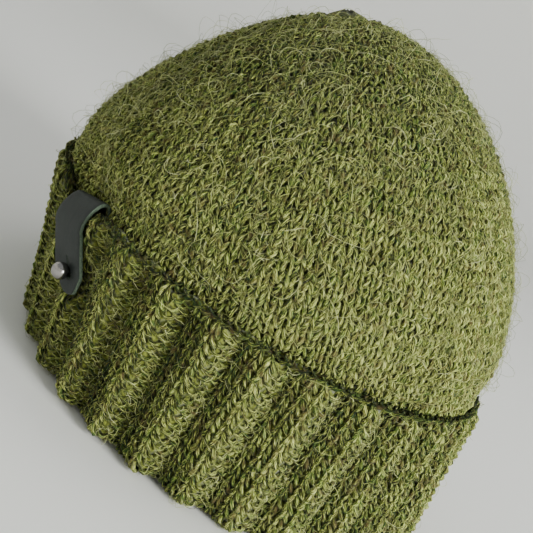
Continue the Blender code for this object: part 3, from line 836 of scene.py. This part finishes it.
def flatStrap(total):
    # the strip before it is bent, with its tip at the origin and the slit cut through
    half, point = tag["width"] / 2, tag["point"]
    bm = bmesh.new()
    outline = [(-half, point), (-half, total), (half, total), (half, point), (half * 0.44, point * 0.13),
               (0.0, 0.0), (-half * 0.44, point * 0.13)]
    sheet = bm.faces.new([bm.verts.new((x, y, -tag["thickness"] / 2)) for x, y in outline])
    bmesh.ops.recalc_face_normals(bm, faces=[sheet])
    tip = [v for v in bm.verts if v.co.y < point * 1.01]
    bmesh.ops.bevel(bm, geom=tip, offset=0.0016, affect="VERTICES", segments=5, profile=0.5, material=-1)
    grown = bmesh.ops.extrude_face_region(bm, geom=list(bm.faces))
    bmesh.ops.translate(bm, verts=[g for g in grown["geom"] if isinstance(g, bmesh.types.BMVert)],
                        vec=(0, 0, tag["thickness"]))
    bmesh.ops.recalc_face_normals(bm, faces=bm.faces)
    flat = addObject("strapFlat", takeMesh("strapFlat", bm))
    cutter = slitCutter()
    boolean = flat.modifiers.new("slit", "BOOLEAN")
    boolean.object = cutter
    boolean.operation = "DIFFERENCE"
    boolean.use_self = True
    bpy.context.view_layer.update()
    cut = bpy.data.meshes.new_from_object(flat.evaluated_get(bpy.context.evaluated_depsgraph_get()))
    bpy.data.objects.remove(flat)
    bpy.data.objects.remove(cutter)
    bm = bmesh.new()
    bm.from_mesh(cut)
    return bm


def bisect(bm, place, direction):
    everything = bm.verts[:] + bm.edges[:] + bm.faces[:]
    bmesh.ops.bisect_plane(bm, geom=everything, plane_co=place, plane_no=direction)


def buildStrap():
    along, face, up = tagDirections()
    path = strapPath()
    run = np.concatenate([[0.0], np.cumsum(np.linalg.norm(np.diff(path, axis=0), axis=1))])
    half, total = tag["width"] / 2, float(run[-1])
    bm = flatStrap(total)
    for k in range(1, 70):
        bisect(bm, (0, total * k / 70, 0), (0, 1, 0))
    for k in range(-4, 5):
        bisect(bm, (half * k / 5, 0, 0), (1, 0, 0))
    rim = [e for e in bm.edges if len(e.link_faces) == 2 and e.calc_face_angle(0.0) > 1.0]
    bmesh.ops.bevel(bm, geom=rim, offset=0.00022, affect="EDGES", segments=2, profile=0.5, material=-1)
    edge = bm.verts.layers.float.new("cutEdge")
    tangents = np.gradient(path, axis=0)
    lean = np.array(along[:])
    for vert in bm.verts:
        side = max((abs(f.normal.z) for f in vert.link_faces), default=1.0)
        vert[edge] = 1.0 if side < 0.9 else 0.0
        here = np.array([np.interp(vert.co.y, run, path[:, k]) for k in range(3)])
        way = np.array([np.interp(vert.co.y, run, tangents[:, k]) for k in range(3)])
        normal = np.cross(way, lean)
        normal /= np.linalg.norm(normal)
        dip = -0.0011 * math.exp(-((vert.co.y - tag["studFromTip"]) / 0.006) ** 2 - (vert.co.x / 0.007) ** 2)
        curl = 0.0009 * (vert.co.x / half) ** 2 * (1.0 if vert.co.y < tag["length"] else 0.0)
        vert.co = Vector(here + lean * vert.co.x + normal * (vert.co.z + dip - curl * 0.4))
    bmesh.ops.recalc_face_normals(bm, faces=bm.faces)
    if bm.calc_volume(signed=True) < 0.0:
        bmesh.ops.reverse_faces(bm, faces=bm.faces)
    mesh = takeMesh("strapTag", bm)
    piece = addPiece("strapTag", mesh, leatherFinish())
    mesh.set_sharp_from_angle(angle=math.radians(55))
    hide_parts("tag_back_leg", "tag_front_leg")
    hinge = onCuff(tag["hinge"]) + face * (tag["outset"] + tag["thickness"] / 2)
    tuple(hinge + up * 0.0022)
    tuple(hinge - up * 0.0022)
    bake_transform(piece)


stud = dict(ball=0.0030, neck=0.0017, seat=0.0024, flange=0.0044, sink=0.0007)


def spunShape(profile, axis, steps):
    # a full turn of a profile given as distances from the axis and heights along it
    bm = bmesh.new()
    spine = [bm.verts.new(Vector((reach, 0.0, 0.0)) + height * Vector(axis)) for reach, height in profile]
    edges = [bm.edges.new(pair) for pair in zip(spine, spine[1:])]
    bmesh.ops.spin(bm, geom=spine + edges, cent=(0, 0, 0), axis=axis, angle=full, steps=steps,
                   use_merge=True, use_duplicate=False)
    bmesh.ops.remove_doubles(bm, verts=bm.verts, dist=1e-5)
    return bm


def buildStud():
    along, face, up = tagDirections()
    hinge = onCuff(tag["hinge"]) + face * (tag["outset"] + tag["thickness"] / 2)
    foot = hinge + (up + along * tag["skew"]) * (tag["studFromTip"] - tag["length"])
    place = Matrix.Translation(foot) @ Matrix((along, face, up)).transposed().to_4x4()
    ball, neck, seat, flange = (stud[key] for key in ("ball", "neck", "seat", "flange"))
    first = math.asin(neck / ball)
    profile = [(0.0, -0.0024), (flange, -0.0024), (flange + 0.0002, -0.0021), (flange, -0.0018),
               (neck + 0.0003, -0.0017), (neck, -0.0012)]
    for k in range(25):
        turn = (math.pi - first) * (1.0 - k / 24)
        profile.append((ball * math.sin(turn), seat + ball * math.cos(turn)))
    bm = spunShape(profile, (0, 1, 0), 56)
    bmesh.ops.recalc_face_normals(bm, faces=bm.faces)
    bmesh.ops.transform(bm, matrix=Matrix.Translation((0, -stud["sink"], 0)), verts=bm.verts)
    bmesh.ops.transform(bm, matrix=place, verts=bm.verts)
    piece = addPiece("ballStud", takeMesh("ballStud", bm), steelFinish("studSteel"), "cuff")
    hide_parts("stud_knob")


def finishCadNodes():
    ply = plyFinish()
    screw = steelFinish("screwSteel", 5200.0)
    finishes = dict(closing_loop=ply, closing_tail=ply, cast_on_tail=ply, stud_screw=screw)
    for name, finish in finishes.items():
        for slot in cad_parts[name].material_slots:
            slot.material = finish


# ---- studio ----

studio = dict(
    radius=1.6, curve=0.5, wall=1.5, paper=((0.87, 0.855, 0.825), (0.90, 0.89, 0.86)),
    sky=(0.91, 0.97, 0.96, 1.0), skyStrength=0.50,
    keyLight=dict(spot=(1.30, -0.95, 0.62), size=0.7, power=42.0, colour=(0.97, 1.0, 0.975)),
    topLight=dict(spot=(0.3, 0.2, 1.4), size=0.8, power=3.0, colour=(1.0, 0.99, 0.97)),
)
camera = dict(
    place=(0.0064, -0.36145, 0.14274), lens=61.66,
    # turned about its own axis: the hat leans in the frame
    right=(0.8289, 0.1622, 0.5353), up=(-0.558, 0.1726, 0.8117), ahead=(-0.0393, 0.9716, -0.2335),
)


def buildStudio():
    radius, curve = studio["radius"], studio["curve"]
    profile = [(0.0, 0.0), (radius, 0.0)]
    for k in range(1, 10):
        turn = 0.5 * math.pi * k / 9
        profile.append((radius + curve * math.sin(turn), curve * (1 - math.cos(turn))))
    profile.append((radius + curve, studio["wall"]))
    mesh = takeMesh("studioFloor", spunShape(profile, (0, 0, 1), 96))
    mesh.shade_smooth()
    floor = addObject("studioFloor", mesh)
    finish = Finish("studioPaper", Roughness=0.9, Specular_IOR_Level=0.1)
    place = finish.node("TexCoord", output=3)
    drift = finish.node("TexNoise", Vector=place, Scale=1.2, Detail=1.0)
    mesh.materials.append(finish.feed(Base_Color=finish.mix(drift, *studio["paper"])))

    world = bpy.data.worlds.new("studio")
    scene.world = world
    world.use_nodes = True
    background = world.node_tree.nodes["Background"]
    background.inputs[0].default_value = studio["sky"]
    background.inputs[1].default_value = studio["skyStrength"]
    aim = Vector((0.0, 0.0, 0.08))
    for name in ("keyLight", "topLight"):
        look = studio[name]
        lamp = bpy.data.lights.new(name, "AREA")
        lamp.shape = "DISK"
        lamp.size = look["size"]
        lamp.energy = look["power"]
        lamp.color = look["colour"]
        holder = addObject(name, lamp)
        holder.location = look["spot"]
        holder.rotation_euler = (aim - Vector(look["spot"])).to_track_quat("-Z", "Y").to_euler()


def buildCamera():
    lens = bpy.data.cameras.new("camera")
    lens.sensor_width = 36.0
    lens.lens = camera["lens"]
    lens.clip_start = 0.01
    holder = addObject("camera", lens)
    right, up, ahead = (Vector(camera[key]) for key in ("right", "up", "ahead"))
    turn = Matrix((right, up, -ahead)).transposed().to_4x4()
    holder.matrix_world = Matrix.Translation(camera["place"]) @ turn
    scene.camera = holder


buildCamera()
buildStudio()
print("studio ready")
wool = woolFinish("woolYarn")
buildCrownStitches(wool)
buildCuffStitches(wool)
buildCastOnEdge(wool)
print("stitches laid")
buildFabric()
print("fabric ready")
buildHairs()
print("hairs laid")
buildStrap()
buildStud()
finishCadNodes()
print("strap and stud ready")
